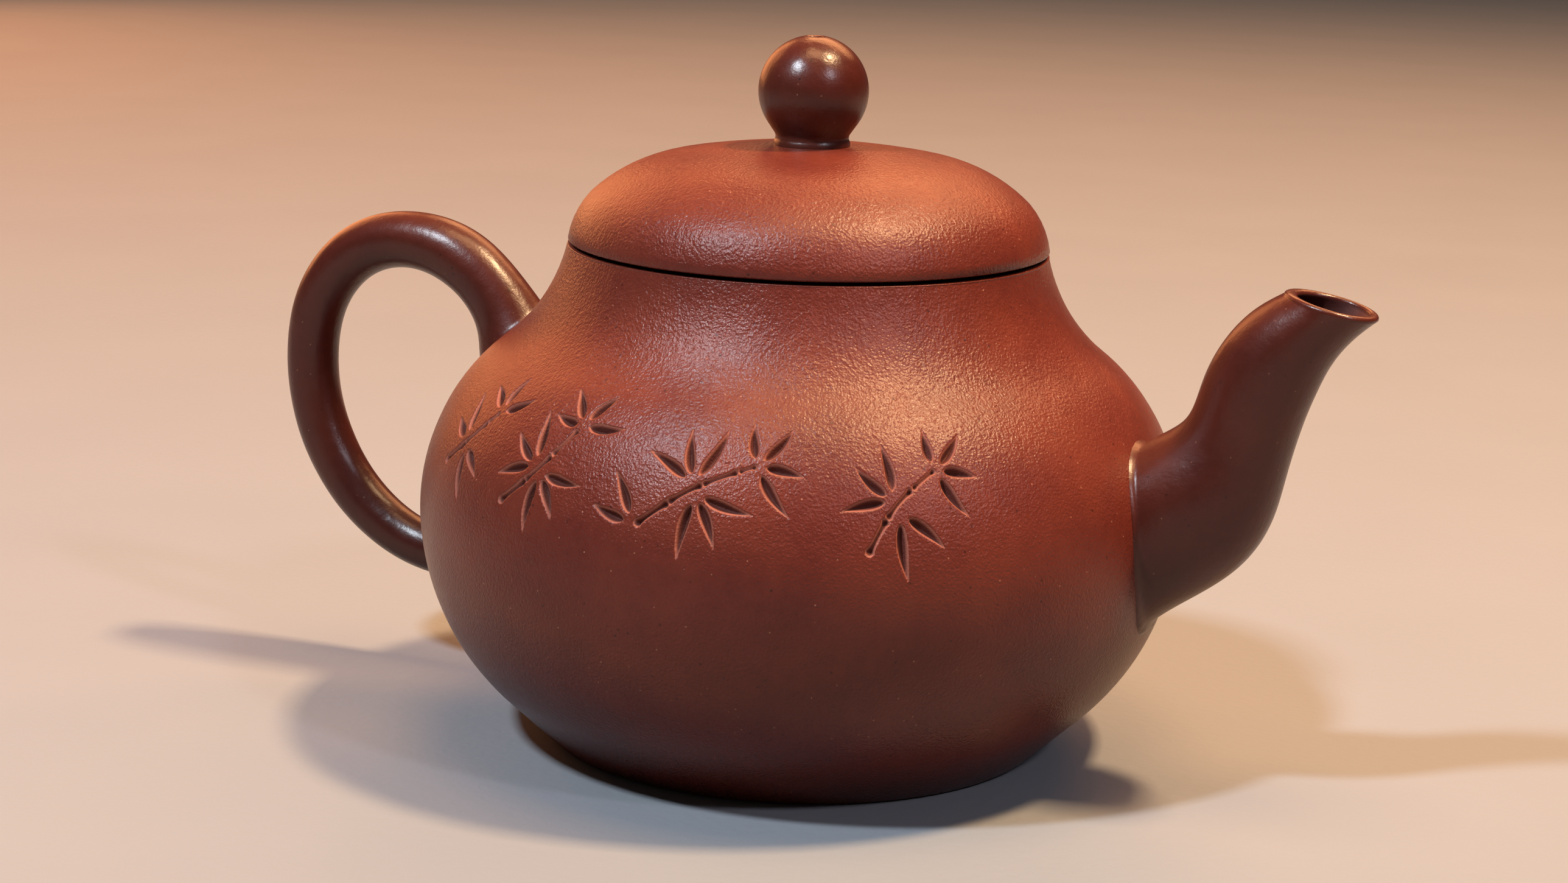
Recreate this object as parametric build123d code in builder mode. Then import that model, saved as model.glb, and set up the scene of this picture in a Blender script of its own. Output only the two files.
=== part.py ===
from build123d import *
from math import cos, radians, sin
import os

os.makedirs("parts", exist_ok=True)

# Teapot. Millimetres, +Z up, spout towards +X, handle towards -X.
# The origin is on the pot's axis, in the plane it stands on.

# Pot outline: widest at belly_height, waisted at the neck, cut off level at the rim
belly_radius = 47.0
belly_height = 28.5
lower_round = 30.6  # radius of the curve below the belly
foot_lean = 47.0  # lean of the wall where it meets the base, degrees from upright
belly_round = 25.5  # radius of the curve above the belly
rim_radius = 29.4
rim_height = 60.9
rim_lean = 13.0  # lean of the neck at the rim, degrees from upright
wall = 2.8
floor = 4.2

# Where the wall, the upper slab and the neck were joined
base_joint = 6.0
shoulder_joint = 43.0
neck_joint = 52.5

# Base, pressed in at the middle, and its flat resting band
foot_soft = 1.6  # rounding of the foot's outer edge
band_width = 3.2
press_depth = 1.4

# Mouth strip and the lid's seat
mouth_strip = 2.2
mouth_strip_height = 4.0
seam_soft = 0.35  # rounding of both edges of the seam

# Lid
lid_lean = 9.0  # lean of the lid's edge, degrees from upright
lid_edge_round = 10.3
lid_edge_end = 46.0  # lean where the edge curve gives way to the shoulder curve
lid_shoulder_round = 19.5
lid_crown_start = 80.0  # lean where the flat crown begins
lid_wall = 2.6
lid_ring_height = 2.2
collar_gap = 0.3  # between the collar and the mouth strip, all round
collar_wall = 2.2
collar_depth = 9.0

# Knob
knob_radius = 6.65
knob_height = 13.3  # above the crown
knob_taper_start = 125.0  # turn of the ball's outline before it runs straight to the neck
knob_taper = 1.5
knob_neck_round = 0.9
knob_neck_turn = 72.0
steam_hole = 1.8

# Spout: stations from the root to just past the mouth
# (beyond the belly, height, lean of the spout above level, depth, width)
spout_stations = (
    (-7.0, 29.8, 9.0, 27.2, 19.8),
    (-3.1, 30.8, 20.0, 20.5, 16.6),
    (2.5, 34.4, 46.0, 18.5, 16.0),
    (5.8, 38.4, 57.0, 16.6, 14.8),
    (8.0, 42.4, 65.0, 13.6, 13.0),
    (10.1, 49.2, 71.0, 12.7, 12.3),
    (13.6, 55.4, 51.0, 11.1, 11.3),
    (18.0, 59.5, 41.0, 8.6, 9.8),
    (22.3, 63.6, 46.0, 9.2, 10.2),
)
spout_mouth = (18.4, 60.4, 78.0)  # where the tube is cut off: beyond the belly, height, lean
spout_root_wall = 2.6
spout_lip_wall = 0.8
spout_lip_soft = 0.3

# Strainer over the outlet
strainer_height = 31.6
strainer_radius = 9.8
strainer_wall = 1.6
strainer_hole = 2.0
strainer_rings = ((0.0, 1), (24.0, 6), (46.0, 11))  # (lean from the middle, holes)

# Handle: stations on its middle line, from inside the wall at the top to inside it at the bottom
# (beyond the belly, height, thickness)
handle_stations = (
    (-10.5, 37.5, 12.8),
    (-7.1, 44.5, 11.4),
    (-5.6, 47.5, 9.5),
    (1.5, 54.8, 8.1),
    (10.1, 56.7, 7.5),
    (17.3, 54.5, 7.2),
    (22.8, 48.3, 7.0),
    (24.6, 40.4, 6.9),
    (22.8, 30.3, 6.9),
    (17.3, 22.0, 6.7),
    (7.9, 16.4, 6.5),
    (-5.5, 16.0, 6.9),
)


def neck_curves():
    """Lean at the inflection above the belly, in degrees, and the radius of the hollow neck curve."""
    drop = belly_radius - rim_radius
    rise = rim_height - belly_height
    lean = radians(rim_lean)
    inner = belly_round - drop
    radius = (inner**2 + rise**2 - belly_round**2) / (2 * (belly_round - inner * cos(lean) - rise * sin(lean)))
    across = inner + radius * cos(lean)
    up = rise + radius * sin(lean)
    return Vector(across, up).get_signed_angle(Vector(1, 0)), radius


def pot_face(inset, bottom):
    """Half section of the pot's outline, drawn in by inset, from the given height to just over the rim."""
    turn, neck_round = neck_curves()
    belly = (belly_radius - inset, belly_height)
    with BuildSketch() as face:
        with BuildLine():
            lower = JernArc(belly, (0, -1), lower_round - inset, -foot_lean)
            foot = lower @ 1 + (lower % 1) * ((lower @ 1).Y - bottom) / cos(radians(foot_lean))
            Line(lower @ 1, foot)
            upper = JernArc(belly, (0, 1), belly_round - inset, turn)
            neck = JernArc(upper @ 1, upper % 1, neck_round + inset, rim_lean - turn)
            top = neck @ 1 + (neck % 1) * (wall + inset)
            Polyline(neck @ 1, top, (0, top.Y), (0, bottom), foot)
        make_face()
    return face.sketch


def lid_face(inset):
    """Half section of the lid's outline, drawn in by inset, down to just under its edge."""
    lean = radians(lid_lean)
    start = Vector(rim_radius - inset * cos(lean), rim_height - inset * sin(lean))
    with BuildSketch() as face:
        with BuildLine():
            edge = JernArc(start, (-sin(lean), cos(lean)), lid_edge_round - inset, lid_edge_end - lid_lean)
            shoulder = JernArc(edge @ 1, edge % 1, lid_shoulder_round - inset, lid_crown_start - lid_edge_end)
            crown_round = (shoulder @ 1).X / cos(radians(lid_crown_start))
            crown = JernArc(shoulder @ 1, shoulder % 1, crown_round, 90 - lid_crown_start)
            below = start - (edge % 0) * wall
            Polyline(crown @ 1, (0, below.Y), below, start)
        make_face()
    return face.sketch


def keep_band(low, high, inner=0.0):
    """Keeps what the current sketch has between two heights and outside a radius."""
    with Locations((inner, low)):
        Rectangle(belly_radius, high - low, align=Align.MIN, mode=Mode.INTERSECT)


def spout_radius_at(share, depth, width, hollow):
    """Half depth and half width of a spout station, or of the bore inside it."""
    skin = hollow * (spout_root_wall + (spout_lip_wall - spout_root_wall) * share)
    return depth / 2 - skin, width / 2 - skin


def spout_plane(out, height, lean):
    along = radians(lean)
    return Plane(
        origin=(belly_radius + out, 0, height),
        x_dir=(-sin(along), 0, cos(along)),
        z_dir=(cos(along), 0, sin(along)),
    )


def spout_tube(hollow):
    """The uncut spout's outside (hollow 0) or its bore (hollow 1)."""
    last = len(spout_stations) - 1
    planes = [spout_plane(out, height, lean) for out, height, lean, _, _ in spout_stations]
    with BuildPart() as tube:
        with BuildLine():
            Spline(*[plane.origin for plane in planes])
        for place, (_, _, _, depth, width) in enumerate(spout_stations):
            with BuildSketch(planes[place]):
                Ellipse(*spout_radius_at(place / last, depth, width, hollow))
        sweep(multisection=True)
    return tube.part


def turned(face):
    """A half section turned once round the pot's axis."""
    with BuildPart() as solid:
        with BuildSketch(Plane.XZ):
            add(face)
        revolve(axis=Axis.Z)
    return solid.part


pot_outside = turned(pot_face(0.0, 0.0))
pot_inside = turned(pot_face(wall, floor))
lid_outside = turned(lid_face(0.0))
spout_bore = spout_tube(1)

# Heights and radii that follow from the ones above
crown_height = lid_outside.bounding_box().max.Z
mouth_radius = rim_radius - wall - mouth_strip
collar_radius = mouth_radius - collar_gap

# ---- Pot body

with BuildPart() as base_disc:
    with BuildSketch(Plane.XZ):
        add(pot_face(0.0, 0.0))
        add(pot_face(wall, floor), mode=Mode.SUBTRACT)
        keep_band(0.0, base_joint)
    revolve(axis=Axis.Z)
    foot = base_disc.faces().sort_by(Axis.Z)[0]
    foot_radius = foot.edges()[0].radius
    fillet(foot.edges(), foot_soft)
    # the pressed middle is a shallow cap of a large sphere
    press_edge = foot_radius - foot_soft - band_width
    press_round = (press_edge**2 + press_depth**2) / (2 * press_depth)
    with Locations((0, 0, press_depth - press_round)):
        Sphere(press_round, mode=Mode.SUBTRACT)

with BuildPart() as belly_wall:
    with BuildSketch(Plane.XZ):
        add(pot_face(0.0, 0.0))
        add(pot_face(wall, floor), mode=Mode.SUBTRACT)
        keep_band(base_joint, shoulder_joint)
    revolve(axis=Axis.Z)
    add(spout_bore, mode=Mode.SUBTRACT)

with BuildPart() as shoulder_disc:
    with BuildSketch(Plane.XZ):
        add(pot_face(0.0, 0.0))
        add(pot_face(wall, floor), mode=Mode.SUBTRACT)
        keep_band(shoulder_joint, neck_joint)
    revolve(axis=Axis.Z)

with BuildPart() as neck_ring:
    with BuildSketch(Plane.XZ):
        add(pot_face(0.0, 0.0))
        add(pot_face(wall, floor), mode=Mode.SUBTRACT)
        keep_band(neck_joint, rim_height)
    revolve(axis=Axis.Z)
    rim = neck_ring.faces().sort_by(Axis.Z)[-1]
    fillet(rim.edges().sort_by(SortBy.RADIUS)[-1], seam_soft)

with BuildPart() as mouth_ring:
    with BuildSketch(Plane.XZ):
        add(pot_face(wall, floor))
        keep_band(rim_height - mouth_strip_height, rim_height, mouth_radius)
    revolve(axis=Axis.Z)
    fillet(mouth_ring.edges().group_by(Axis.Z)[-1].sort_by(SortBy.RADIUS)[0], seam_soft)

with BuildPart() as spout:
    add(spout_tube(0))
    add(spout_bore, mode=Mode.SUBTRACT)
    add(pot_outside, mode=Mode.SUBTRACT)
    mouth = spout_plane(*spout_mouth)
    split(bisect_by=mouth, keep=Keep.BOTTOM)
    lip = spout.faces().filter_by(Plane(mouth.origin, z_dir=mouth.z_dir)).sort_by(Axis.Z)[-1]
    fillet(lip.edges(), spout_lip_soft)

with BuildPart() as strainer_dome:
    outlet = Vector(belly_radius - wall, 0, strainer_height)
    with Locations(outlet):
        Sphere(strainer_radius)
        Sphere(strainer_radius - strainer_wall, mode=Mode.SUBTRACT)
    add(pot_inside, mode=Mode.INTERSECT)
    for lean, count in strainer_rings:
        for turn in range(count):
            round_turn = radians(360 * turn / count)
            off = sin(radians(lean))
            way = (-cos(radians(lean)), off * cos(round_turn), off * sin(round_turn))
            with Locations(Plane(origin=outlet, z_dir=way)):
                Hole(strainer_hole / 2)

with BuildPart() as handle:
    middle = [(-belly_radius - out, 0, height) for out, height, _ in handle_stations]
    with BuildLine():
        bow = Spline(*middle)
    for point, (_, _, thickness) in zip(middle, handle_stations):
        way = bow % bow.param_at_point(point)
        with BuildSketch(Plane(origin=point, x_dir=(0, 1, 0), z_dir=way)):
            Circle(thickness / 2)
    sweep(multisection=True)
    add(pot_outside, mode=Mode.SUBTRACT)

# ---- Lid

with BuildPart() as lid_dome:
    with BuildSketch(Plane.XZ):
        add(lid_face(0.0))
        add(lid_face(lid_wall), mode=Mode.SUBTRACT)
        keep_band(rim_height, 2 * crown_height)
    revolve(axis=Axis.Z)
    fillet(lid_dome.edges().group_by(Axis.Z)[0].sort_by(SortBy.RADIUS)[-1], seam_soft)
    with Locations((0, 0, crown_height)):
        Hole(steam_hole / 2)

with BuildPart() as lid_ring:
    with BuildSketch(Plane.XZ):
        add(lid_face(lid_wall))
        keep_band(rim_height, rim_height + lid_ring_height, collar_radius - collar_wall)
    revolve(axis=Axis.Z)

with BuildPart() as lid_collar:
    with BuildSketch(Plane.XZ):
        with Locations((collar_radius, rim_height)):
            Rectangle(collar_wall, collar_depth, align=Align.MAX)
    revolve(axis=Axis.Z)
    foot_edges = lid_collar.edges().group_by(Axis.Z)[0]
    fillet(foot_edges, collar_wall / 4)

with BuildPart() as lid_knob:
    top = crown_height + knob_height
    with BuildSketch(Plane.XZ):
        with BuildLine():
            ball = JernArc((0, top), (1, 0), knob_radius, -knob_taper_start)
            taper = Line(ball @ 1, ball @ 1 + (ball % 1) * knob_taper)
            neck = JernArc(taper @ 1, taper % 1, knob_neck_round, knob_neck_turn)
            Polyline(neck @ 1, ((neck @ 1).X, crown_height - lid_wall), (0, crown_height - lid_wall), (0, top))
        make_face()
    revolve(axis=Axis.Z)
    add(lid_outside, mode=Mode.SUBTRACT)
    with Locations((0, 0, top)):
        Hole(steam_hole / 2)

pieces = {
    "base_disc": base_disc,
    "belly_wall": belly_wall,
    "shoulder_disc": shoulder_disc,
    "neck_ring": neck_ring,
    "mouth_ring": mouth_ring,
    "spout": spout,
    "strainer_dome": strainer_dome,
    "handle": handle,
    "lid_dome": lid_dome,
    "lid_ring": lid_ring,
    "lid_collar": lid_collar,
    "lid_knob": lid_knob,
}
for name, piece in pieces.items():
    piece.part.label = name
    export_step(piece.part, f"parts/{name}.step")
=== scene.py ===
import math

import bmesh
import bpy
import numpy as np
from mathutils import Matrix, Vector


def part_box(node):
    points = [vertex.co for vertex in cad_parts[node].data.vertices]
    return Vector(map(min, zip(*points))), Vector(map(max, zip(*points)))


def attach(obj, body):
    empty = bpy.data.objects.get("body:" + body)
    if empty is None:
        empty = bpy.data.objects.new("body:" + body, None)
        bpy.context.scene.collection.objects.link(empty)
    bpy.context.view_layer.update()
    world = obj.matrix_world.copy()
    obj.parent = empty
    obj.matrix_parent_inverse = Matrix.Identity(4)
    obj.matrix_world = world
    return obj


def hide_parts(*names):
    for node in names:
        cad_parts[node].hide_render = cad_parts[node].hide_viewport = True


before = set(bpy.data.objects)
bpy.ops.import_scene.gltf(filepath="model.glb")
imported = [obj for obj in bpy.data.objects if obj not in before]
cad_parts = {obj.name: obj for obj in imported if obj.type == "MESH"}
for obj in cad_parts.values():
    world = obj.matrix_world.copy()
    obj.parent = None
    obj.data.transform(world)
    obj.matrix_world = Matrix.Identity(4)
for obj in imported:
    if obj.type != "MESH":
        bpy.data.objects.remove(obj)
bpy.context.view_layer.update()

# Small round unglazed teapot. Millimetres until a mesh is finished, +Z up, spout towards +X.
MM = 0.001

# Pot outline, as the frame has it
BELLY_RADIUS = 47.0
BELLY_HEIGHT = 28.5
LOWER_ROUND = 30.6
FOOT_LEAN = 47.0
BELLY_ROUND = 25.5
RIM_RADIUS = 29.4
RIM_HEIGHT = 60.9
RIM_LEAN = 13.0
WALL = 2.8
FLOOR = 4.2
FLOOR_CORNER = 4.0
FOOT_SOFT = 1.6
BAND_WIDTH = 3.2
PRESS_DEPTH = 1.4
RIM_SOFT = 0.22

# Lid and knob outlines
LID_LEAN = 9.0
LID_EDGE_ROUND = 10.3
LID_EDGE_END = 46.0
LID_SHOULDER_ROUND = 19.5
LID_CROWN_START = 80.0
LID_WALL = 2.6
LID_GAP = 0.42  # the lid's edge never quite meets the rim
LID_SOFT = 0.3
KNOB_RADIUS = 6.65
KNOB_HEIGHT = 13.3
KNOB_TAPER_START = 125.0
KNOB_TAPER = 1.5
KNOB_NECK_ROUND = 0.9
KNOB_NECK_TURN = 72.0
KNOB_SINK = 1.0
STEAM_HOLE = 1.8
HOLE_SOFT = 0.3

# Spout stations: beyond the belly, height, lean above level, depth, width
SPOUT_STATIONS = (
    (-7.0, 29.8, 9.0, 27.2, 19.8),
    (-3.1, 30.8, 20.0, 20.5, 16.6),
    (2.5, 34.4, 46.0, 18.5, 16.0),
    (5.8, 38.4, 57.0, 16.6, 14.8),
    (8.0, 42.4, 65.0, 13.6, 13.0),
    (10.1, 49.2, 71.0, 12.7, 12.3),
    (13.6, 55.4, 51.0, 11.1, 11.3),
    (18.0, 59.5, 41.0, 8.6, 9.8),
    (22.3, 63.6, 46.0, 9.2, 10.2),
)
SPOUT_MOUTH = (18.4, 60.4, 78.0)
SPOUT_ROOT_WALL = 2.6
SPOUT_LIP_WALL = 0.8
SPOUT_LIP_SOFT = 0.5

# Handle stations: beyond the belly, height, thickness, with both roots inside the wall
HANDLE_STATIONS = (
    (-10.5, 37.5, 12.8),
    (-7.1, 44.5, 11.4),
    (-5.6, 47.5, 9.5),
    (1.5, 54.8, 8.1),
    (10.1, 56.7, 7.5),
    (17.3, 54.5, 7.2),
    (22.8, 48.3, 7.0),
    (24.6, 40.4, 6.9),
    (22.8, 30.3, 6.9),
    (17.3, 22.0, 6.7),
    (7.9, 16.4, 6.5),
    (-5.5, 16.0, 6.9),
)

ROOT_DEPTH = 1.4  # how far spout and handle go into the wall

# Mesh sizes
CELL = 1.2  # on the turned surfaces
CUT_CELLS = 8  # how finely a cell is divided where the wall is carved

# Knife cuts
CUT_UPPER_SLOPE = 1.25
CUT_LOWER_SLOPE = 1.6
CUT_DEEPEST = 0.9
LEAF_HALF_WIDTH = 0.7
STEM_HALF_WIDTH = 0.5

# Four carved sprigs: (across, up) on the wall, in millimetres along it, from a point on the belly line
SPRIG_TURN = math.radians(-84.0)
SPRIG_INTERNODE = 4.6
SPRIG_STEMS = (
    ((-40.5, 8.5), (-36.5, 11.8), (-32.5, 16.2)),
    ((-25.0, 6.8), (-20.0, 11.6), (-16.0, 17.4)),
    ((-4.5, 7.4), (2.0, 12.2), (9.0, 15.2)),
    ((22.5, 5.6), (26.0, 11.0), (31.0, 14.8)),
)
# (across, up, leaf angles anticlockwise from straight right, length of the longest leaf)
SPRIG_LEAVES = (
    (-32.3, 16.6, (24, 84, 148), 4.6),
    (-37.0, 12.0, (112, 164), 4.8),
    (-36.0, 11.4, (-78, -30), 5.0),
    (-15.8, 17.8, (0, 56, 130, 176), 4.9),
    (-20.6, 11.9, (102, 150, 196), 5.2),
    (-19.4, 11.3, (-98, -52, -8), 5.4),
    (9.4, 15.3, (-58, -8, 46, 104), 5.2),
    (1.8, 12.8, (60, 106, 150), 5.8),
    (2.4, 11.6, (-104, -62, -18), 5.8),
    (-4.9, 7.6, (118, 168), 4.8),
    (31.4, 15.0, (-62, -10, 42, 100), 4.8),
    (25.8, 11.6, (96, 142, 188), 5.2),
    (26.4, 10.2, (-88, -36), 5.8),
)

rng = np.random.default_rng(20)


# ---------------------------------------------------------------- outlines


class Outline:
    """A half section drawn by walking: out from the axis, up, and a heading in degrees."""

    def __init__(self, out, up, heading):
        self.points = [(out, up)]
        self.heading = math.radians(heading)

    def line(self, length, steps=None):
        out, up = self.points[-1]
        steps = steps or max(1, math.ceil(length / CELL))
        for step in range(1, steps + 1):
            far = length * step / steps
            self.points.append((out + far * math.cos(self.heading), up + far * math.sin(self.heading)))
        return self

    def arc(self, radius, turn, step_angle=12.0):
        """Walks an arc. A positive turn is anticlockwise, in degrees."""
        steps = max(math.ceil(abs(turn) / step_angle), math.ceil(radius * abs(math.radians(turn)) / CELL))
        side = math.copysign(1.0, turn)
        out, up = self.points[-1]
        middle = (out - side * radius * math.sin(self.heading), up + side * radius * math.cos(self.heading))
        for step in range(1, steps + 1):
            now = self.heading + math.radians(turn) * step / steps
            out = middle[0] + side * radius * math.sin(now)
            up = middle[1] - side * radius * math.cos(now)
            self.points.append((out, up))
        self.heading += math.radians(turn)
        return self

    def jump(self, out, up, heading):
        self.points.append((out, up))
        self.heading = math.radians(heading)
        return self


def neck_curves():
    """Turn of the curve above the belly, in degrees, and the radius of the hollow neck."""
    drop = BELLY_RADIUS - RIM_RADIUS
    rise = RIM_HEIGHT - BELLY_HEIGHT
    lean = math.radians(RIM_LEAN)
    inner = BELLY_ROUND - drop
    radius = (inner**2 + rise**2 - BELLY_ROUND**2) / (
        2 * (BELLY_ROUND - inner * math.cos(lean) - rise * math.sin(lean))
    )
    across = inner + radius * math.cos(lean)
    up = rise + radius * math.sin(lean)
    return math.degrees(math.atan2(up, across)), radius


def soft_corner(radius, turn):
    """Length that a rounded corner takes off each of its sides."""
    return radius * math.tan(math.radians(turn) / 2)


def pot_outline():
    """Underside, foot, belly, neck and rim, and then the inside down to the floor."""
    turn, neck_round = neck_curves()
    lean = math.radians(FOOT_LEAN)
    foot_turn = 90 - FOOT_LEAN
    wall_foot = BELLY_HEIGHT - LOWER_ROUND * math.sin(lean)
    foot_radius = BELLY_RADIUS - LOWER_ROUND * (1 - math.cos(lean)) - wall_foot * math.tan(lean)
    press_edge = foot_radius - FOOT_SOFT - BAND_WIDTH
    press_round = (press_edge**2 + PRESS_DEPTH**2) / (2 * PRESS_DEPTH)
    foot_side = soft_corner(FOOT_SOFT, foot_turn)
    pen = Outline(0.0, PRESS_DEPTH, 0.0)
    pen.arc(press_round, -math.degrees(math.asin(press_edge / press_round)))
    pen.jump(press_edge + 0.1, 0.0, 0.0)
    pen.line(foot_radius - foot_side - press_edge - 0.1)
    pen.arc(FOOT_SOFT, foot_turn)
    pen.line(wall_foot / math.cos(lean) - foot_side)
    pen.arc(LOWER_ROUND, FOOT_LEAN)
    belly_row = len(pen.points) - 1
    pen.arc(BELLY_ROUND, turn)
    rim_turn = 90 - RIM_LEAN
    rim_side = soft_corner(RIM_SOFT, rim_turn)
    pen.arc(neck_round, RIM_LEAN - turn + math.degrees(rim_side / neck_round))
    pen.arc(RIM_SOFT, rim_turn)
    rim_row = len(pen.points) - 1
    # over the rim and down the inside
    slope = math.radians(RIM_LEAN)
    pen.jump(RIM_RADIUS - WALL / math.cos(slope), RIM_HEIGHT, RIM_LEAN - 90)
    neck_start = WALL * math.tan(slope)
    pen.line(neck_start)
    pen.arc(neck_round + WALL, turn - RIM_LEAN)
    pen.arc(BELLY_ROUND - WALL, -turn)
    pen.arc(LOWER_ROUND - WALL, -FOOT_LEAN)
    corner = soft_corner(FLOOR_CORNER, foot_turn)
    pen.line((pen.points[-1][1] - FLOOR) / math.cos(lean) - corner)
    pen.arc(FLOOR_CORNER, -foot_turn)
    pen.line(pen.points[-1][0])
    pen.points[-1] = (0.0, pen.points[-1][1])
    return np.array(pen.points), belly_row, rim_row


def lid_side(inset, soft):
    """The lid's outline from its edge up to the steam hole, drawn in by inset."""
    lean = math.radians(LID_LEAN)
    gap = LID_GAP * (soft > 0)
    corner = soft_corner(soft, 90 - LID_LEAN)
    pen = Outline(
        RIM_RADIUS - inset * math.cos(lean) - corner - gap * math.sin(lean),
        RIM_HEIGHT - inset * math.sin(lean) + gap,
        0.0,
    )
    if soft:
        pen.arc(soft, 90 - LID_LEAN)
        pen.heading += 2 * lean
    else:
        pen.heading = math.pi / 2 + lean
    shortened = math.degrees((corner + gap) / (LID_EDGE_ROUND - inset))
    pen.arc(LID_EDGE_ROUND - inset, LID_EDGE_END - LID_LEAN - shortened)
    pen.heading = math.radians(90 + LID_EDGE_END)
    pen.arc(LID_SHOULDER_ROUND - inset, LID_CROWN_START - LID_EDGE_END)
    crown_round = pen.points[-1][0] / math.cos(math.radians(LID_CROWN_START))
    hole = math.degrees(math.asin(STEAM_HOLE / 2 / crown_round))
    pen.arc(crown_round, 90 - LID_CROWN_START - hole)
    return pen.points


def lid_outline():
    """The lid's shell: its outside from the edge to the steam hole, and back down its inside."""
    outside = lid_side(0.0, LID_SOFT)
    inside = lid_side(LID_WALL, 0.0)
    inside = [point for point in inside if point[1] > RIM_HEIGHT + LID_GAP]
    inside.insert(0, (inside[0][0], RIM_HEIGHT + LID_GAP))
    return np.array(outside + inside[::-1])


def knob_outline(crown):
    """Ball, pinched neck and small flared foot, and back up through the steam hole."""
    top = crown + KNOB_HEIGHT
    hole = STEAM_HOLE / 2
    start = math.degrees(math.asin((hole + HOLE_SOFT) / (KNOB_RADIUS - HOLE_SOFT)))
    begin = math.radians(start)
    pen = Outline(
        KNOB_RADIUS * math.sin(begin),
        top - KNOB_RADIUS * (1 - math.cos(begin)),
        -start,
    )
    pen.arc(KNOB_RADIUS, -(KNOB_TAPER_START - start), 5.0)
    pen.line(KNOB_TAPER, 3)
    pen.arc(KNOB_NECK_ROUND, KNOB_NECK_TURN, 9.0)
    foot = pen.points[-1]
    pen.jump(foot[0] + 0.1, crown - KNOB_SINK, 180.0)
    pen.jump(hole, crown - KNOB_SINK, 90.0)
    pen.line(top - HOLE_SOFT - crown + KNOB_SINK - 0.15)
    pen.arc(HOLE_SOFT, -(90 - start), 15.0)
    return np.array(pen.points)


# ---------------------------------------------------------------- meshes


def make_piece(name, vertices, faces, material, body, nodes, attributes=None):
    """A smooth mesh from millimetre points, riding on a body in place of its frame nodes."""
    mesh = bpy.data.meshes.new(name)
    mesh.from_pydata((np.asarray(vertices) * MM).tolist(), [], faces)
    mesh.validate()
    mesh.shade_smooth()
    for label, values in (attributes or {}).items():
        layer = mesh.attributes.new(label, "FLOAT", "POINT")
        layer.data.foreach_set("value", np.asarray(values, np.float32))
    mesh.materials.append(material)
    piece = bpy.data.objects.new(name, mesh)
    bpy.context.scene.collection.objects.link(piece)
    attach(piece, body)
    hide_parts(*nodes)
    return piece


def grid_faces(rows, columns, close_rows=False):
    """Quads of a grid whose columns go all the way round."""
    faces = []
    for row in range(rows if close_rows else rows - 1):
        low = row * columns
        high = (row + 1) % rows * columns
        for column in range(columns):
            beside = (column + 1) % columns
            faces.append((low + column, low + beside, high + beside, high + column))
    return faces


def weld(piece):
    """Closes the ends, where a whole ring is one point."""
    made = bmesh.new()
    made.from_mesh(piece.data)
    bmesh.ops.remove_doubles(made, verts=list(made.verts), dist=1e-7)
    made.to_mesh(piece.data)
    made.free()


def outline_normals(outline):
    """Unit normals of an outline, to the right of the way it is walked."""
    ways = np.gradient(outline, axis=0)
    ways /= np.maximum(np.linalg.norm(ways, axis=1), 1e-9)[:, None]
    return np.stack((ways[:, 1], -ways[:, 0]), axis=1)


def hand_waves(points, rng, amplitude, lengths, upright=1.0):
    """Low uneven waves left by hand work: never above the true surface, in millimetres."""
    total = np.zeros(len(points))
    weight = 0.0
    for length in lengths:
        for _ in range(4):
            way = rng.normal(size=3) * (1.0, 1.0, upright)
            way *= 2 * math.pi / length / np.linalg.norm(way)
            total += length * np.sin(points @ way + rng.uniform(0, 2 * math.pi))
            weight += length
    return amplitude * (total / weight * 1.6 - 1)


def smooth_through(points, count):
    """Evenly placed points on the natural cubic spline through the given ones. The first two columns
    are the place, and any others are carried along."""
    points = np.asarray(points, float)
    place = points[:, : min(points.shape[1], 2)]
    gaps = np.linalg.norm(np.diff(place, axis=0), axis=1)
    along = np.concatenate(([0.0], np.cumsum(gaps)))
    size = len(points)
    bends = np.eye(size)
    pulls = np.zeros_like(points)
    for here in range(1, size - 1):
        before, after = gaps[here - 1], gaps[here]
        bends[here, here - 1 : here + 2] = before, 2 * (before + after), after
        pulls[here] = 6 * (
            (points[here + 1] - points[here]) / after - (points[here] - points[here - 1]) / before
        )
    curve = np.linalg.solve(bends, pulls)
    wanted = np.linspace(0, along[-1], count)
    span = np.clip(np.searchsorted(along, wanted) - 1, 0, size - 2)
    gap = gaps[span][:, None]
    right = (wanted - along[span])[:, None]
    left = gap - right
    return (
        (curve[span] * left**3 + curve[span + 1] * right**3) / (6 * gap)
        + (points[span] / gap - curve[span] * gap / 6) * left
        + (points[span + 1] / gap - curve[span + 1] * gap / 6) * right
    )


# ---------------------------------------------------------------- the carved sprig


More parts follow.
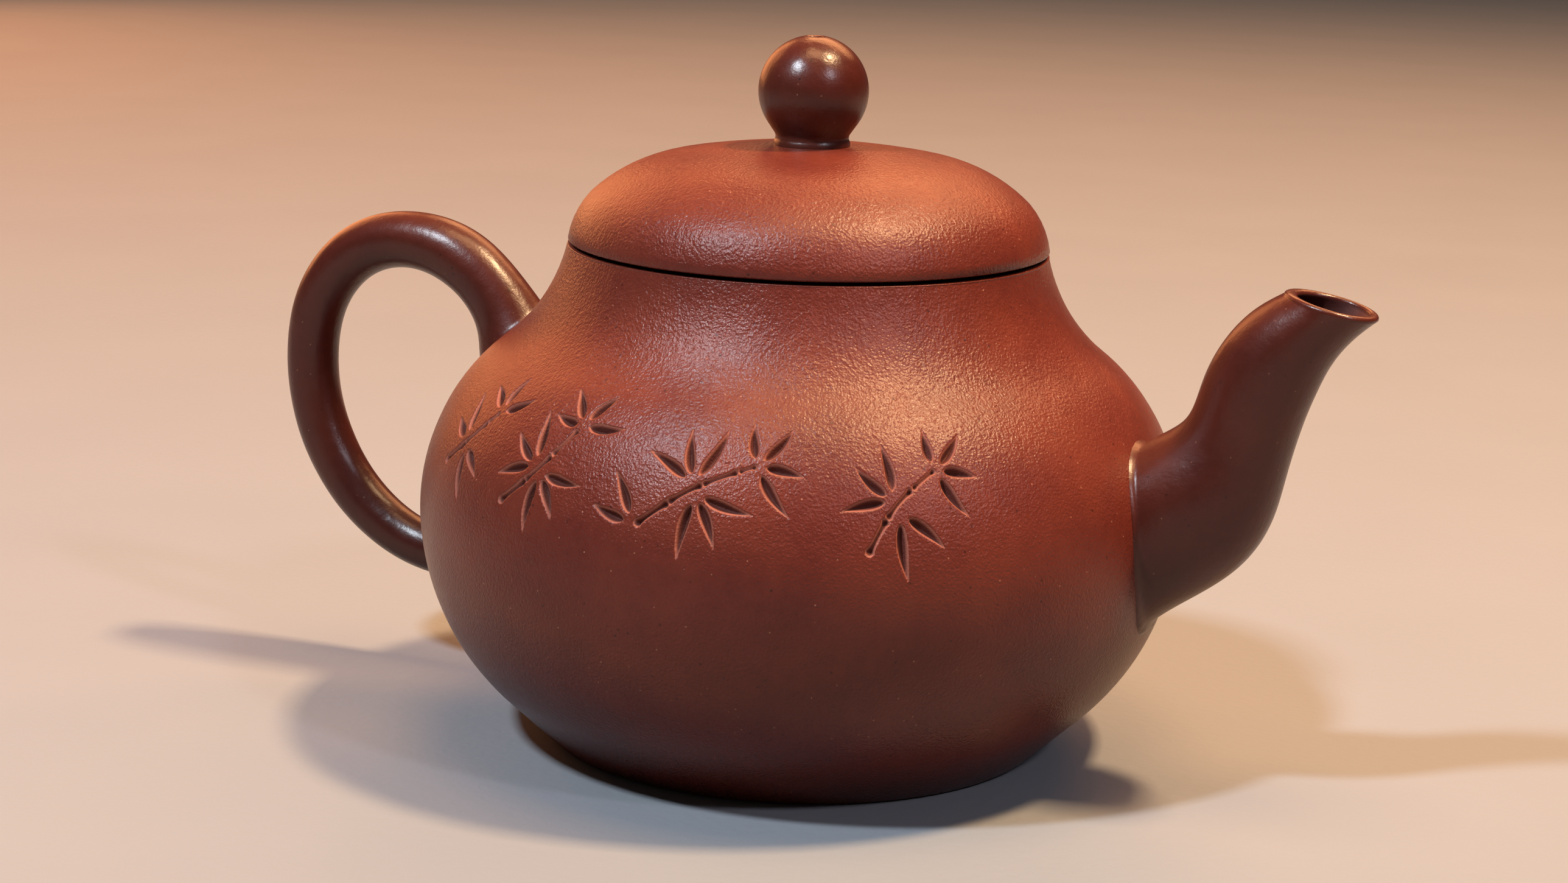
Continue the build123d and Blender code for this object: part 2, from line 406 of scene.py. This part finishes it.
class Cut:
    """One knife cut: a middle line on the wall and its half width along it."""

    def __init__(self, line, half_widths):
        self.line = np.asarray(line, float)
        self.half = np.asarray(half_widths, float)
        ways = self.line[-1] - self.line[0]
        self.flip = -1.0 if ways[0] < 0 else 1.0
        margin = self.half.max() + CELL
        self.low = self.line.min(axis=0) - margin
        self.high = self.line.max(axis=0) + margin

    def near(self, places):
        return np.all((places > self.low) & (places < self.high), axis=1)

    def measure(self, places):
        """Distance to the middle line, signed to be positive above it, and the half width there."""
        start, end = self.line[:-1], self.line[1:]
        way = end - start
        length = np.maximum((way**2).sum(axis=1), 1e-12)
        offset = places[:, None, :] - start[None]
        share = np.clip((offset * way).sum(axis=2) / length, 0, 1)
        gap = offset - share[..., None] * way
        distance = np.linalg.norm(gap, axis=2)
        nearest = distance.argmin(axis=1)
        rows = np.arange(len(places))
        side = way[nearest, 0] * offset[rows, nearest, 1] - way[nearest, 1] * offset[rows, nearest, 0]
        share = share[rows, nearest]
        half = self.half[nearest] * (1 - share) + self.half[nearest + 1] * share
        return np.sign(side) * self.flip * distance[rows, nearest], half

    def depth(self, places):
        """A knife cut leans in under its upper side and is steep on its lower one."""
        offset, half = self.measure(places)
        return np.maximum(0, np.minimum(CUT_UPPER_SLOPE * (half - offset), CUT_LOWER_SLOPE * (half + offset)))


def leaf_cut(across, up, angle, length, bend):
    """A pointed leaf, widest a third of the way along, that droops a little."""
    share = np.linspace(0, 1, 15)
    turn = math.radians(angle) + bend * (share - 0.3)
    step = length / 14
    line = np.cumsum(np.stack((np.cos(turn), np.sin(turn)), axis=1) * step, axis=0)
    half = LEAF_HALF_WIDTH * np.sin(math.pi * share**0.62) ** 0.9
    return Cut(line + (across, up), np.maximum(half, 0.05))


def sprig_cuts():
    cuts = []
    for points in SPRIG_STEMS:
        stem = smooth_through(points, 60)
        along = np.concatenate(([0.0], np.cumsum(np.linalg.norm(np.diff(stem, axis=0), axis=1))))
        for joint in np.arange(0, along[-1] - 1, SPRIG_INTERNODE):
            piece = stem[(along > joint + 0.3) & (along < joint + SPRIG_INTERNODE - 0.3)]
            share = np.linspace(-1, 1, len(piece))
            thinning = 1 - 0.35 * joint / along[-1]
            cuts.append(Cut(piece, STEM_HALF_WIDTH * thinning * (0.74 + 0.4 * share**4)))
    for across, up, angles, length in SPRIG_LEAVES:
        for place, angle in enumerate(angles):
            out = math.radians(angle)
            start = (across + 0.7 * math.cos(out), up + 0.7 * math.sin(out))
            size = length * (1.15, 0.95, 1.05, 0.85)[place]
            cuts.append(leaf_cut(*start, angle, size, (0.35, -0.3, 0.25, -0.35)[place]))
    return cuts


def carved_depth(places, cuts):
    """Depth of the carving at (across, up) places on the wall."""
    depth = np.zeros(len(places))
    for cut in cuts:
        near = np.flatnonzero(cut.near(places))
        if len(near):
            depth[near] = np.maximum(depth[near], cut.depth(places[near]))
    return np.minimum(depth, CUT_DEEPEST)


# ---------------------------------------------------------------- pot body


def flat_grid(widths, heights):
    """A flat mesh of cells, as long as the outline and as wide as the belly is round."""
    sheet = bmesh.new()
    rows = [[sheet.verts.new((x, y, 0)) for x in widths] for y in heights]
    for low, high in zip(rows, rows[1:]):
        for near in range(len(widths) - 1):
            sheet.faces.new((low[near], low[near + 1], high[near + 1], high[near]))
    return sheet


def make_pot_body(material):
    outline, belly_row, rim_row = pot_outline()
    steps = np.linalg.norm(np.diff(outline, axis=0), axis=1)
    along = np.concatenate(([0.0], np.cumsum(steps)))
    girth = 2 * math.pi * BELLY_RADIUS
    columns = round(girth / CELL)
    cuts = sprig_cuts()
    sheet = flat_grid(np.linspace(0, girth, columns + 1), along)

    def on_sprig(flat):
        across = flat[:, 0] - (SPRIG_TURN % (2 * math.pi)) * BELLY_RADIUS
        across = (across + girth / 2) % girth - girth / 2
        return np.stack((across, flat[:, 1] - along[belly_row]), axis=1)

    # divide the cells that a cut passes through
    middles = np.array([face.calc_center_median()[:2] for face in sheet.faces])
    spots = on_sprig(middles)
    carved = np.zeros(len(spots), bool)
    for cut in cuts:
        near = np.flatnonzero(cut.near(spots))
        if len(near):
            offset, half = cut.measure(spots[near])
            carved[near] |= abs(offset) < half + 0.75 * CELL
    faces = [face for face, hit in zip(list(sheet.faces), carved) if hit]
    edges = list({edge for face in faces for edge in face.edges})
    bmesh.ops.subdivide_edges(sheet, edges=edges, cuts=CUT_CELLS - 1, use_grid_fill=True)

    flat = np.array([vertex.co[:2] for vertex in sheet.verts])
    turn = flat[:, 0] / BELLY_RADIUS
    row = np.interp(flat[:, 1], along, np.arange(len(along)))
    out = np.interp(flat[:, 1], along, outline[:, 0])
    up = np.interp(flat[:, 1], along, outline[:, 1])
    normals = outline_normals(outline)
    normal_out = np.interp(flat[:, 1], along, normals[:, 0])
    normal_up = np.interp(flat[:, 1], along, normals[:, 1])

    # the inner vertices of a divided cell go back onto the round outline
    belly_turn = neck_curves()[0]
    rise = (flat[:, 1] - along[belly_row]) / BELLY_ROUND
    on_belly = (rise >= 0) & (rise <= math.radians(belly_turn))
    out = np.where(on_belly, BELLY_RADIUS - BELLY_ROUND * (1 - np.cos(rise)), out)
    up = np.where(on_belly, BELLY_HEIGHT + BELLY_ROUND * np.sin(rise), up)
    normal_out = np.where(on_belly, np.cos(rise), normal_out)
    normal_up = np.where(on_belly, np.sin(rise), normal_up)

    around = np.stack((np.cos(turn), np.sin(turn)), axis=1)
    points = np.column_stack((around * out[:, None], up))
    facing = np.column_stack((around * normal_out[:, None], normal_up))
    outside = np.clip((rim_row - 2 - row) / 4, 0, 1) * np.clip((up - 1.0) / 4.0, 0, 1)
    waves = hand_waves(points, rng, 0.09, (16.0, 27.0, 44.0))
    waves += hand_waves(points, rng, 0.022, (4.5, 7.0), upright=0.2)
    depth = carved_depth(on_sprig(flat), cuts)
    points += facing * (outside * waves - depth)[:, None]

    inside = np.clip((row - rim_row - 0.5) * 2, 0, 1)
    rubbed = np.exp(-(((row - rim_row + 4) / 3.0) ** 2))
    for vertex, point in zip(sheet.verts, points):
        vertex.co = point
    layers = {
        "cut": depth / CUT_DEEPEST,
        "inside": inside,
        "rubbed": rubbed,
    }
    held = {label: sheet.verts.layers.float.new(label) for label in layers}
    for place, vertex in enumerate(sheet.verts):
        for label, layer in held.items():
            vertex[layer] = layers[label][place]
    bmesh.ops.remove_doubles(sheet, verts=list(sheet.verts), dist=1e-4)
    bmesh.ops.scale(sheet, vec=(MM, MM, MM), verts=list(sheet.verts))
    mesh = bpy.data.meshes.new("pot_body")
    sheet.to_mesh(mesh)
    sheet.free()
    mesh.shade_smooth()
    mesh.materials.append(material)
    piece = bpy.data.objects.new("pot_body", mesh)
    bpy.context.scene.collection.objects.link(piece)
    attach(piece, "pot")
    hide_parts("base_disc", "belly_wall", "shoulder_disc", "neck_ring")
    return piece


# ---------------------------------------------------------------- spout and handle


pot_line, belly_place, rim_place = pot_outline()
pot_line = pot_line[: rim_place + 1]
pot_line_normals = outline_normals(pot_line)


def beyond_wall(points):
    """Distance outside the pot's wall, negative inside it."""
    flat = np.stack((np.hypot(points[:, 0], points[:, 1]), points[:, 2]), axis=1)
    gap = flat[:, None, :] - pot_line[None]
    nearest = (gap**2).sum(axis=2).argmin(axis=1)
    rows = np.arange(len(points))
    return (gap[rows, nearest] * pot_line_normals[nearest]).sum(axis=1)


def first_crossing(values, level):
    """For each column, where down its rows the value first passes the level, as a fraction of a row."""
    above = values > level
    last = np.argmax(above, axis=0)
    last = np.maximum(last, 1)
    columns = np.arange(values.shape[1])
    low, high = values[last - 1, columns], values[last, columns]
    return last - 1 + np.clip((level - low) / np.where(high == low, 1, high - low), 0, 1)


def between_rows(rings, starts, ends, count):
    """Rings resampled so that each column runs from its own start to its own end."""
    share = np.linspace(0, 1, count)[:, None]
    wanted = starts + (ends - starts) * share
    low = np.clip(np.floor(wanted).astype(int), 0, len(rings) - 2)
    part = (wanted - low)[..., None]
    columns = np.arange(rings.shape[1])[None]
    return rings[low, columns] * (1 - part) + rings[low + 1, columns] * part


def luting(rings, middles, widths):
    """Clay worked into the corner where a limb meets the wall."""
    distance = beyond_wall(rings.reshape(-1, 3)).reshape(rings.shape[:2])
    share = 1 - np.clip(distance / widths, 0, 1)
    push = widths * (1 - np.sqrt(np.maximum(0, 1 - share**2)))
    outward = rings - middles[:, None, :]
    outward /= np.linalg.norm(outward, axis=2)[..., None]
    return rings + outward * push[..., None]


def spout_rings(skin, columns, rows):
    """Rings of the uncut spout, drawn in by its wall where skin is 1."""
    stations = [(BELLY_RADIUS + station[0], *station[1:]) for station in SPOUT_STATIONS]
    path = smooth_through(stations, rows)
    share = np.linspace(0, 1, rows)
    wall = skin * (SPOUT_ROOT_WALL + (SPOUT_LIP_WALL - SPOUT_ROOT_WALL) * share)
    lean = np.radians(path[:, 2])
    upward = np.stack((-np.sin(lean), np.zeros(rows), np.cos(lean)), axis=1)
    middles = np.stack((path[:, 0], np.zeros(rows), path[:, 1]), axis=1)
    turn = np.arange(columns) * 2 * math.pi / columns
    deep = (path[:, 3] / 2 - wall)[:, None] * np.cos(turn)
    wide = (path[:, 4] / 2 - wall)[:, None] * np.sin(turn)
    sideways = np.array((0.0, -1.0, 0.0))
    rings = middles[:, None, :] + deep[..., None] * upward[:, None, :] + wide[..., None] * sideways
    return rings, middles, turn


def make_spout(material):
    columns, rows = 112, 170
    out, height, lean = SPOUT_MOUTH
    mouth = np.array((BELLY_RADIUS + out, 0.0, height))
    tilt = math.radians(lean)
    mouth_way = np.array((math.cos(tilt), 0.0, math.sin(tilt)))
    sides = []
    for skin in (0.0, 1.0):
        rings, middles, turn = spout_rings(skin, columns, rows)
        if not skin:
            # a saddle of clay over the top, a crisp joint at the sides, a little under the bottom
            widths = 0.45 + 0.6 * np.maximum(0, np.cos(turn)) ** 2 + 0.2 * np.maximum(0, -np.cos(turn)) ** 2
            rings = luting(rings, middles, widths[None, :])
            waves = hand_waves(rings.reshape(-1, 3), rng, 0.07, (7.0, 12.0, 22.0), upright=0.6)
            outward = rings - middles[:, None, :]
            outward /= np.linalg.norm(outward, axis=2)[..., None]
            rings = rings + outward * waves.reshape(rings.shape[:2])[..., None]
        start = first_crossing(beyond_wall(rings.reshape(-1, 3)).reshape(rings.shape[:2]), -ROOT_DEPTH)
        end = first_crossing((rings - mouth) @ mouth_way, -SPOUT_LIP_SOFT)
        sides.append(between_rows(rings, start, end, rows))
    outer, inner = sides
    lip_middle = (outer[-1] + inner[-1]) / 2
    reach = (outer[-1] - inner[-1]) / 2
    lip = []
    for angle in np.linspace(0, math.pi, 13)[1:-1]:
        flatness = abs(math.sin(angle)) ** 0.8
        lip.append(lip_middle + reach * math.cos(angle) + mouth_way * SPOUT_LIP_SOFT * flatness)
    loops = np.concatenate((outer, np.array(lip), inner[::-1]))
    count = len(loops)
    rubbed = np.zeros((count, columns))
    rubbed[rows - 6 : rows + 16] = 1.0
    inside = np.zeros((count, columns))
    inside[rows + 11 :] = 1.0
    make_piece(
        "spout_tube",
        loops.reshape(-1, 3),
        grid_faces(count, columns, close_rows=True),
        material,
        "pot",
        ("spout",),
        {"rubbed": rubbed.ravel(), "inside": inside.ravel()},
    )


def make_handle(material):
    columns, rows = 72, 260
    path = smooth_through(HANDLE_STATIONS, rows)
    share = np.linspace(0, 1, rows)
    middles = np.stack((-BELLY_RADIUS - path[:, 0], np.zeros(rows), path[:, 1]), axis=1)
    ways = np.gradient(middles, axis=0)
    ways /= np.linalg.norm(ways, axis=1)[:, None]
    outward = np.stack((-ways[:, 2], np.zeros(rows), ways[:, 0]), axis=1)
    radius = path[:, 2] / 2
    turn = np.arange(columns) * 2 * math.pi / columns
    sideways = np.array((0.0, 1.0, 0.0))
    ring = np.cos(turn)[None, :, None] * outward[:, None, :] + np.sin(turn)[None, :, None] * sideways
    rings = middles[:, None, :] + radius[:, None, None] * ring
    # a little more clay is worked into the top of the upper root
    widths = np.where(share < 0.5, 0.6 + 0.8 * np.maximum(0, np.cos(turn))[:, None], 0.6).T
    rings = luting(rings, middles, widths)
    waves = hand_waves(rings.reshape(-1, 3), rng, 0.08, (9.0, 16.0, 30.0))
    rings = rings + ring * waves.reshape(rings.shape[:2])[..., None]
    distance = beyond_wall(rings.reshape(-1, 3)).reshape(rings.shape[:2])
    start = first_crossing(distance, -ROOT_DEPTH)
    end = rows - 1 - first_crossing(distance[::-1], -ROOT_DEPTH)
    rings = between_rows(rings, start, end, rows)
    loops = np.concatenate((rings[:1].mean(axis=1, keepdims=True).repeat(columns, axis=1), rings))
    loops = np.concatenate((loops, rings[-1:].mean(axis=1, keepdims=True).repeat(columns, axis=1)))
    grip = np.cos(turn)[None, :] * np.exp(-(((np.arange(rows + 2) / rows - 0.45) / 0.3) ** 2))[:, None]
    piece = make_piece(
        "handle_bow",
        loops.reshape(-1, 3),
        grid_faces(rows + 2, columns),
        material,
        "pot",
        ("handle",),
        {"rubbed": np.abs(grip).ravel() * 0.6, "inside": np.zeros(loops.shape[0] * columns)},
    )
    weld(piece)


# ---------------------------------------------------------------- lid


def turned_piece(name, outline, columns, material, nodes, waviness, rubbed):
    """An outline turned all the way round into a closed ring."""
    turn = np.arange(columns) * 2 * math.pi / columns
    around = np.stack((np.cos(turn), np.sin(turn)), axis=1)
    normals = outline_normals(outline)
    points = np.empty((len(outline), columns, 3))
    points[..., :2] = outline[:, None, :1] * around[None]
    points[..., 2] = outline[:, None, 1]
    facing = np.empty_like(points)
    facing[..., :2] = normals[:, None, :1] * around[None]
    facing[..., 2] = normals[:, None, 1]
    waves = hand_waves(points.reshape(-1, 3), rng, waviness, (13.0, 24.0, 40.0)).reshape(points.shape[:2])
    points += facing * waves[..., None]
    attributes = {
        "rubbed": np.repeat(rubbed, columns),
        "inside": np.zeros(points.shape[0] * columns),
    }
    return make_piece(
        name,
        points.reshape(-1, 3),
        grid_faces(len(outline), columns, close_rows=True),
        material,
        "lid",
        nodes,
        attributes,
    )


def make_lid(clay, burnished):
    outline = lid_outline()
    top = outline[:, 1].max()
    edge = np.exp(-(((outline[:, 1] - RIM_HEIGHT) / 0.9) ** 2))
    columns = round(2 * math.pi * RIM_RADIUS / 0.9)
    turned_piece("lid_shell", outline, columns, clay, ("lid_dome",), 0.06, edge)
    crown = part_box("lid_dome")[1].z / MM
    knob = knob_outline(crown)
    worn = np.clip((knob[:, 1] - top - 6) / 6, 0, 1)
    turned_piece("knob_ball", knob, 96, burnished, ("lid_knob",), 0.03, worn)


# ---------------------------------------------------------------- clay materials


class Wire:
    """A socket of a material. The usual operators add the Math nodes."""

    def __init__(self, recipe, socket):
        self.recipe = recipe
        self.socket = socket

    def join(self, operation, first, second=None, clamp=False):
        values = {0: first}
        if second is not None:
            values[1] = second
        return self.recipe.add("ShaderNodeMath", {"operation": operation, "use_clamp": clamp}, values)

    def __add__(self, other):
        return self.join("ADD", self, other)

    __radd__ = __add__

    def __sub__(self, other):
        return self.join("SUBTRACT", self, other)

    def __rsub__(self, other):
        return self.join("SUBTRACT", other, self)

    def __mul__(self, other):
        return self.join("MULTIPLY", self, other)

    __rmul__ = __mul__

    def __truediv__(self, other):
        return self.join("DIVIDE", self, other)

    def __rtruediv__(self, other):
        return self.join("DIVIDE", other, self)

    def kept_in(self):
        """The same value held between 0 and 1."""
        return self.join("ADD", self, 0.0, clamp=True)

    def rise(self, low, high):
        """0 below low, 1 above high, and a soft step between."""
        return self.recipe.add(
            "ShaderNodeMapRange",
            {"interpolation_type": "SMOOTHSTEP"},
            {"Value": self, "From Min": low, "From Max": high},
        )


class Recipe:
    """One clay: a Principled surface, and a short way to add any node."""

    def __init__(self, name):
        self.material = bpy.data.materials.new(name)
        self.material.use_nodes = True
        self.tree = self.material.node_tree
        self.surface = self.tree.nodes["Principled BSDF"]
        place = self.add("ShaderNodeTexCoord", output="Object")
        self.place = self.add(
            "ShaderNodeVectorMath", {"operation": "SCALE"}, {0: place, "Scale": 1 / MM}
        )
        self.height = self.add("ShaderNodeSeparateXYZ", None, {0: self.place}, output="Z")

    def add(self, kind, settings=None, values=None, output=0):
        node = self.tree.nodes.new(kind)
        for key, setting in (settings or {}).items():
            setattr(node, key, setting)
        for key, value in (values or {}).items():
            self.feed(node.inputs[key], value)
        return Wire(self, node.outputs[output])

    def feed(self, socket, value):
        if isinstance(value, Wire):
            self.tree.links.new(value.socket, socket)
        else:
            socket.default_value = value

    def stretched(self, x, y, z):
        return self.add("ShaderNodeVectorMath", {"operation": "MULTIPLY"}, {0: self.place, 1: (x, y, z)})

    def noise(self, scale, detail=2.0, roughness=0.5, place=None):
        values = {"Vector": place or self.place, "Scale": scale, "Detail": detail, "Roughness": roughness}
        return self.add("ShaderNodeTexNoise", None, values, output="Fac")

    def cells(self, scale, smoothness=0.0, output="Distance"):
        settings = {"feature": "SMOOTH_F1" if smoothness else "F1"}
        values = {"Vector": self.place, "Scale": scale}
        if smoothness:
            values["Smoothness"] = smoothness
        return self.add("ShaderNodeTexVoronoi", settings, values, output=output)

    def painted(self, name):
        """A value that the mesh carries at its points."""
        settings = {"attribute_type": "GEOMETRY", "attribute_name": name}
        return self.add("ShaderNodeAttribute", settings, output="Fac")

    def mix(self, factor, below, above):
        values = {"Factor": factor, 6: below, 7: above}
        return self.add("ShaderNodeMix", {"data_type": "RGBA"}, values, output=2)

    def bump(self, height, distance, under=None):
        values = {"Height": height, "Distance": distance}
        if under:
            values["Normal"] = under
        return self.add("ShaderNodeBump", None, values, output="Normal")

    def finish(self, **sockets):
        for name, value in sockets.items():
            self.feed(self.surface.inputs[name.replace("_", " ")], value)
        return self.material


# Colours of the fired clay, linear
DARK_CLAY = (0.085, 0.0145, 0.01, 1.0)
CLAY = (0.15, 0.027, 0.0165, 1.0)
WARM_CLAY = (0.21, 0.043, 0.02, 1.0)
# knife cut colours: pale edges, partly wear and partly painted light, and a dark floor that is painted shade
CUT_EDGE_WORN_AND_LIT = (0.3, 0.098, 0.066, 1.0)
CUT_FLOOR_PAINTED_SHADE = (0.065, 0.014, 0.01, 1.0)
PALE_GRAIN = (0.5, 0.23, 0.14, 1.0)
DARK_GRAIN = (0.03, 0.007, 0.006, 1.0)


def clay_colour(clay, shade):
    """Even firing colour with faint clouds, fine grog: sparse pale and dark grains, and painted shade that
    darkens the colour towards the bottom.
    """
    clouds = clay.noise(0.05, 3.0, 0.5)
    mottle = clay.noise(0.7, 4.0, 0.6)
    tone = (clouds * 0.6 + 0.1 + (mottle - 0.5) * 0.7).kept_in()
    colour = clay.mix(tone, DARK_CLAY, CLAY)
    warm = clay.noise(0.08, 2.0, 0.5).rise(0.35, 0.75)
    colour = clay.mix(warm * 0.3, colour, WARM_CLAY)
    rare = clay.add("ShaderNodeSeparateColor", None, {0: clay.cells(1.1, output="Color")}, output="Red")
    pale = (1 - clay.cells(1.1).rise(0.06, 0.15)) * rare.rise(0.86, 0.9)
    colour = clay.mix(pale * 0.5, colour, PALE_GRAIN)
    rarer = clay.add("ShaderNodeSeparateColor", None, {0: clay.cells(0.8, output="Color")}, output="Green")
    dark = (1 - clay.cells(0.8).rise(0.08, 0.17)) * rarer.rise(0.8, 0.86)
    colour = clay.mix(dark * 0.7, colour, DARK_GRAIN)
    # painted shade: the colour darkens towards the bottom in place of light falling from above, and shade
    # sets each clay's overall tone
    painted_shading = shade * (clay.height.rise(-4.0, 42.0) * 0.42 + 0.58)
    black = (0.0, 0.0, 0.0, 1.0)
    return clay.mix(painted_shading.kept_in(), black, colour), mottle


def leathery_clay():
    """The body and lid: the wrinkled skin of the beaten wall, waxed by use."""
    clay = Recipe("beaten clay")
    colour, mottle = clay_colour(clay, 1.0)
    cut = clay.painted("cut")
    inside = clay.painted("inside")
    rubbed = clay.painted("rubbed")
    in_cut = cut.rise(0.01, 0.06)
    # cuts are coloured pale at their worn, lit edges and darker deeper in, as painted shade
    cut_wear_and_painted_shade = clay.mix(cut.rise(0.12, 0.5), CUT_EDGE_WORN_AND_LIT, CUT_FLOOR_PAINTED_SHADE)
    colour = clay.mix(in_cut * 0.8, colour, cut_wear_and_painted_shade)
    # pear skin all over, drawn out into upright wrinkles towards the neck
    pebbles = clay.cells(2.9, smoothness=0.6)
    wrinkles = clay.noise(2.6, 3.0, 0.55)
    streaks = clay.noise(1.0, 2.0, 0.5, place=clay.stretched(1.9, 1.9, 0.32))
    drawn = clay.height.rise(34.0, 52.0)
    relief = pebbles * 0.5 + wrinkles * 1.0 + streaks * (0.15 + drawn * 0.9)
    fine = clay.noise(4.6, 2.0, 0.5) + in_cut * clay.noise(2.4, 3.0, 0.6)
    skin = clay.bump(relief * (1 - in_cut * 0.8), 0.00008)
    skin = clay.bump(fine, 0.00005, under=skin)
    roughness = 0.23 + mottle * 0.14 - rubbed * 0.05 + in_cut * 0.4 + inside * 0.38
    return clay.finish(Base_Color=colour, Roughness=roughness.kept_in(), Normal=skin, Specular_IOR_Level=0.28)


def burnished_clay():
    """Spout, handle and knob: the same clay scraped and rubbed smooth."""
    clay = Recipe("burnished clay")
    colour, mottle = clay_colour(clay, 0.5)
    inside = clay.painted("inside")
    rubbed = clay.painted("rubbed")
    ripple = clay.noise(0.45, 2.0, 0.5)
    scrape = clay.noise(1.0, 2.0, 0.5, place=clay.stretched(0.9, 1.4, 0.2))
    skin = clay.bump(ripple * 0.6 + scrape * 0.35, 0.0001)
    skin = clay.bump(clay.noise(3.4, 3.0, 0.6), 0.00002, under=skin)
    roughness = 0.27 + mottle * 0.1 - rubbed * 0.05 + inside * 0.4
    return clay.finish(Base_Color=colour, Roughness=roughness.kept_in(), Normal=skin, Specular_IOR_Level=0.36)


def plain_clay():
    """Collar, strips and strainer: left as the tool made them, and matte."""
    clay = Recipe("plain clay")
    colour, mottle = clay_colour(clay, 1.1)
    turning = clay.noise(1.0, 2.0, 0.5, place=clay.stretched(0.1, 0.1, 2.2))
    grit = clay.noise(2.6, 4.0, 0.65)
    skin = clay.bump(turning * 0.5 + grit * 0.8, 0.00009)
    roughness = 0.62 + mottle * 0.16
    return clay.finish(Base_Color=colour, Roughness=roughness.kept_in(), Normal=skin, Specular_IOR_Level=0.4)


# ---------------------------------------------------------------- floor, lights and camera


def make_floor():
    """A pale floor that curves up into a round wall far from the pot."""
    flat, bend, wall = 1.7, 0.9, 0.7
    outline = [(0.0, 0.0), (0.3, 0.0), (0.9, 0.0)]
    for step in range(13):
        turn = math.radians(90 * step / 12)
        outline.append((flat + bend * math.sin(turn), bend * (1 - math.cos(turn))))
    outline.append((flat + bend, bend + wall))
    columns = 96
    vertices = [
        (out * math.cos(2 * math.pi * column / columns), out * math.sin(2 * math.pi * column / columns), up)
        for out, up in outline
        for column in range(columns)
    ]
    mesh = bpy.data.meshes.new("floor")
    mesh.from_pydata(vertices, [], grid_faces(len(outline), columns))
    mesh.shade_smooth()
    floor = bpy.data.objects.new("floor", mesh)
    bpy.context.scene.collection.objects.link(floor)
    weld(floor)
    paper = Recipe("studio floor")
    tone = paper.noise(0.02, 3.0, 0.5)
    colour = paper.mix(tone, (0.2, 0.215, 0.235, 1.0), (0.22, 0.235, 0.255, 1.0))
    skin = paper.bump(paper.noise(0.6, 2.0, 0.5), 0.0001)
    mesh.materials.append(paper.finish(Base_Color=colour, Roughness=0.85, Normal=skin))


def place_lamp(name, turn, height, distance, size, watts, colour):
    """A soft square lamp aimed at the pot. Turn and height are degrees, turn 0 in front of the pot."""
    lamp = bpy.data.lights.new(name, "AREA")
    lamp.shape = "RECTANGLE"
    lamp.size, lamp.size_y = size
    lamp.energy = watts
    lamp.color = colour
    holder = bpy.data.objects.new(name, lamp)
    bpy.context.scene.collection.objects.link(holder)
    turn, height = math.radians(turn), math.radians(height)
    aim = Vector((0.0, 0.0, 0.04))
    way = Vector((math.sin(turn) * math.cos(height), -math.cos(turn) * math.cos(height), math.sin(height)))
    holder.location = aim + distance * way
    holder.rotation_euler = way.to_track_quat("Z", "Y").to_euler()


def make_lights():
    place_lamp("window", -28, 52, 0.95, (0.065, 0.09), 9.5, (0.8, 0.9, 1.0))
    place_lamp("warm lamp", 108, 66, 0.95, (0.12, 0.085), 16.0, (1.0, 0.64, 0.34))
    place_lamp("right fill", 66, 40, 1.1, (0.08, 0.1), 3.0, (0.9, 0.88, 1.0))
    place_lamp("left glow", -122, 20, 1.1, (0.7, 0.7), 5.5, (1.0, 0.34, 0.12))
    place_lamp("back glow", -175, 42, 1.2, (0.9, 0.5), 10.0, (1.0, 0.42, 0.17))
    place_lamp("overhead", 0, 88, 1.3, (0.5, 0.5), 9.0, (1.0, 0.54, 0.26))
    world = bpy.data.worlds.new("studio air")
    world.use_nodes = True
    world.node_tree.nodes["Background"].inputs["Color"].default_value = (0.9, 0.84, 0.82, 1.0)
    world.node_tree.nodes["Background"].inputs["Strength"].default_value = 0.1
    bpy.context.scene.world = world


def make_camera():
    """Stands in front and a little towards the spout, looking slightly down."""
    camera = bpy.data.cameras.new("camera")
    camera.sensor_width = 36.0
    camera.lens = 69.53
    camera.clip_start = 0.01
    holder = bpy.data.objects.new("camera", camera)
    bpy.context.scene.collection.objects.link(holder)
    turn, drop, roll = (math.radians(angle) for angle in (24.358, 12.309, 1.766))
    holder.matrix_world = (
        Matrix.Translation((0.1489, -0.3344, 0.1164))
        @ Matrix.Rotation(turn, 4, "Z")
        @ Matrix.Rotation(math.pi / 2 - drop, 4, "X")
        @ Matrix.Rotation(roll, 4, "Z")
    )
    bpy.context.scene.camera = holder


# ---------------------------------------------------------------- the whole pot

bpy.context.scene.view_settings.view_transform = "Standard"
make_camera()
make_floor()
make_lights()

beaten = leathery_clay()
burnished = burnished_clay()
plain = plain_clay()

make_pot_body(beaten)
make_spout(burnished)
make_handle(burnished)
make_lid(beaten, burnished)

for name in ("mouth_ring", "strainer_dome", "lid_ring", "lid_collar"):
    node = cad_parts[name]
    node.data.materials.clear()
    node.data.materials.append(plain)
